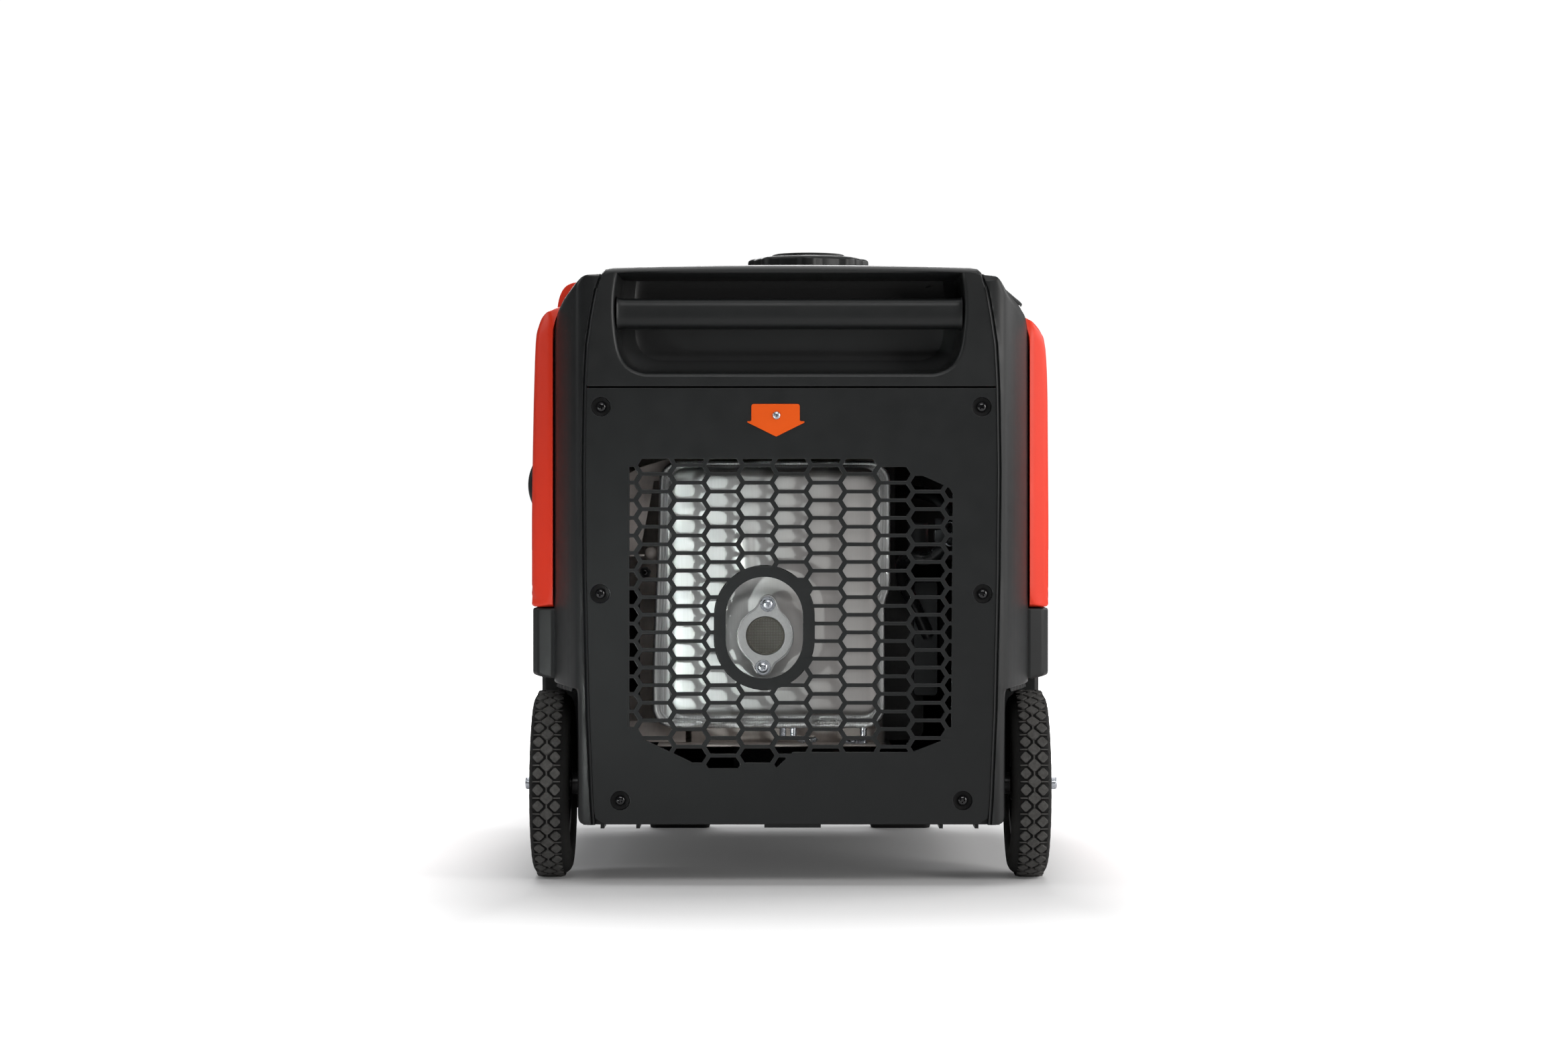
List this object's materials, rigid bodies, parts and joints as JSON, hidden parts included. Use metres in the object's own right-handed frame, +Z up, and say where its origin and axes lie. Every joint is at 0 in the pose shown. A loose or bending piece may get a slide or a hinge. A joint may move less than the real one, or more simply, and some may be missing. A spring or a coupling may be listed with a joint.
{
  "type": "portable generator",
  "caption": "Suitcase-style inverter generator on two wheels with an exhaust grille end, carry handles, fold-out tow handle, service door and control panel",
  "frame": {"origin": "centre of the footprint box on the floor, under the wheels and feet", "axes": "+Z up; -Y faces out of the exhaust and wheel end; +Y faces out of the control and tow handle end; +X to the right when facing the exhaust end"},
  "size_m": [0.4475, 0.6134, 0.528],
  "materials": {
    "black_plastic": "fine-grained moulded black plastic",
    "red_plastic": "satin moulded red-orange plastic",
    "grey_plastic": "fine-grained dark grey plastic",
    "orange_paint": "satin orange paint on a thin plate",
    "black_paint": "semi-gloss black paint on steel",
    "tyre_rubber": "dusty grey-black solid rubber with a diamond tread",
    "foot_rubber": "black rubber",
    "zinc_steel": "bright zinc-plated steel",
    "muffler_steel": "polished aluminised sheet steel",
    "cast_aluminium": "bead-blasted cast aluminium",
    "shield_steel": "brown-grey heat-stained sheet steel",
    "screen_steel": "fine woven olive-brown steel mesh",
    "display": "glossy dark display window",
    "copper": "varnished copper windings",
    "ceramic": "white glazed ceramic and plated steel"
  },
  "bodies": {
    "housing": {"left_side_shell": "black_plastic", "right_side_shell": "black_plastic", "top_cover": "black_plastic", "exhaust_end_cap": "black_plastic", "exhaust_carry_bar": "black_plastic", "exhaust_grille_panel": "black_plastic", "base_pan": "black_plastic", "control_end_shell": "black_plastic", "duplex_outlet": "black_plastic", "recoil_housing": "black_plastic", "air_cleaner": "black_plastic", "fuel_tank": "black_plastic", "left_side_cover": "red_plastic", "right_side_cover": "red_plastic", "control_panel": "grey_plastic", "starter_battery": "grey_plastic", "arrow_plate": "orange_paint", "panel_screw_1": "black_paint", "panel_screw_2": "black_paint", "panel_screw_3": "black_paint", "panel_screw_4": "black_paint", "panel_screw_5": "black_paint", "panel_screw_6": "black_paint", "left_foot": "foot_rubber", "right_foot": "foot_rubber", "breather_hose": "foot_rubber", "arrow_plate_screw": "zinc_steel", "axle": "zinc_steel", "left_axle_nut": "zinc_steel", "right_axle_nut": "zinc_steel", "flange_screw_upper": "zinc_steel", "flange_screw_lower": "zinc_steel", "muffler_shell": "muffler_steel", "exhaust_flange": "cast_aluminium", "engine_block": "cast_aluminium", "carburettor": "cast_aluminium", "inverter_module": "cast_aluminium", "heat_shield": "shield_steel", "spark_arrestor_screen": "screen_steel", "meter_display": "display", "alternator_stator": "copper", "spark_plug": "ceramic"},
    "left_wheel": {"left_tyre": "tyre_rubber", "left_wheel_hub": "black_plastic"},
    "right_wheel": {"right_tyre": "tyre_rubber", "right_wheel_hub": "black_plastic"},
    "crank_assembly": {"crankshaft": "zinc_steel", "alternator_rotor": "cast_aluminium"},
    "starter_pulley": {"recoil_pulley": "grey_plastic"},
    "starter_grip": {"recoil_grip": "grey_plastic"},
    "tow_handle_frame": {"tow_handle": "black_paint"},
    "filler_cap": {"fuel_cap": "black_plastic"},
    "vent_dial": {"cap_vent_dial": "black_plastic"},
    "access_door": {"service_door": "red_plastic"},
    "door_latch": {"door_latch_knob": "black_plastic"},
    "engine_switch": {"engine_switch_knob": "black_plastic"},
    "eco_switch": {"eco_rocker": "black_plastic"},
    "start_key": {"start_button": "grey_plastic"},
    "breaker_key": {"breaker_button": "grey_plastic"},
    "socket_cover": {"outlet_cover": "black_plastic"}
  },
  "joints": [
    {"name": "left_wheel_spin", "type": "hinge", "parent": "housing", "child": "left_wheel", "pos_m": [-0.1985, -0.215, 0.078], "axis": [1, 0, 0], "continuous": true},
    {"name": "right_wheel_spin", "type": "hinge", "parent": "housing", "child": "right_wheel", "pos_m": [0.1985, -0.215, 0.078], "axis": [1, 0, 0], "continuous": true},
    {"name": "crankshaft_spin", "type": "hinge", "parent": "housing", "child": "crank_assembly", "pos_m": [-0.12, -0.024, 0.196], "axis": [1, 0, 0], "continuous": true},
    {"name": "starter_grip_pull", "type": "slide", "parent": "housing", "child": "starter_grip", "axis": [-1, 0, 0], "range_m": [0, 0.5], "stiffness_N_per_m": 20, "springref_m": -0.25},
    {"name": "starter_pulley_turn", "type": "hinge", "parent": "housing", "child": "starter_pulley", "pos_m": [-0.183, -0.024, 0.196], "axis": [1, 0, 0], "range_deg": [0, 521]},
    {"name": "tow_handle_fold", "type": "hinge", "parent": "housing", "child": "tow_handle_frame", "pos_m": [0, 0.299, 0.096], "axis": [-1, 0, 0], "range_deg": [0, 90]},
    {"name": "fuel_cap_turn", "type": "hinge", "parent": "housing", "child": "filler_cap", "pos_m": [0.015, -0.105, 0.512], "axis": [0, 0, 1], "range_deg": [0, 120]},
    {"name": "vent_dial_turn", "type": "hinge", "parent": "filler_cap", "child": "vent_dial", "pos_m": [0.015, -0.105, 0.526], "axis": [0, 0, 1], "range_deg": [0, 90]},
    {"name": "service_door_hinge", "type": "hinge", "parent": "housing", "child": "access_door", "pos_m": [0.212, 0.02, 0.2525], "axis": [0, 1, 0], "range_deg": [0, 100]},
    {"name": "door_latch_turn", "type": "hinge", "parent": "access_door", "child": "door_latch", "pos_m": [0.212, 0.02, 0.418], "axis": [1, 0, 0], "range_deg": [0, 90]},
    {"name": "engine_switch_turn", "type": "hinge", "parent": "housing", "child": "engine_switch", "pos_m": [-0.112, 0.29, 0.34], "axis": [0, 1, 0], "range_deg": [0, 90]},
    {"name": "eco_switch_tilt", "type": "hinge", "parent": "housing", "child": "eco_switch", "pos_m": [-0.112, 0.2824, 0.27], "axis": [1, 0, 0], "range_deg": [0, 14]},
    {"name": "start_button_press", "type": "slide", "parent": "housing", "child": "start_key", "axis": [0, -1, 0], "range_m": [0, 0.003], "stiffness_N_per_m": 400, "springref_m": -0.002},
    {"name": "breaker_button_press", "type": "slide", "parent": "housing", "child": "breaker_key", "axis": [0, -1, 0], "range_m": [0, 0.003], "stiffness_N_per_m": 400, "springref_m": -0.002},
    {"name": "outlet_cover_flip", "type": "hinge", "parent": "housing", "child": "socket_cover", "pos_m": [0.07, 0.29, 0.252], "axis": [1, 0, 0], "range_deg": [0, 150]}
  ],
  "couplings": [
    {"joint": "starter_pulley_turn", "follows": "starter_grip_pull", "rad_per_m": 18.182}
  ]
}
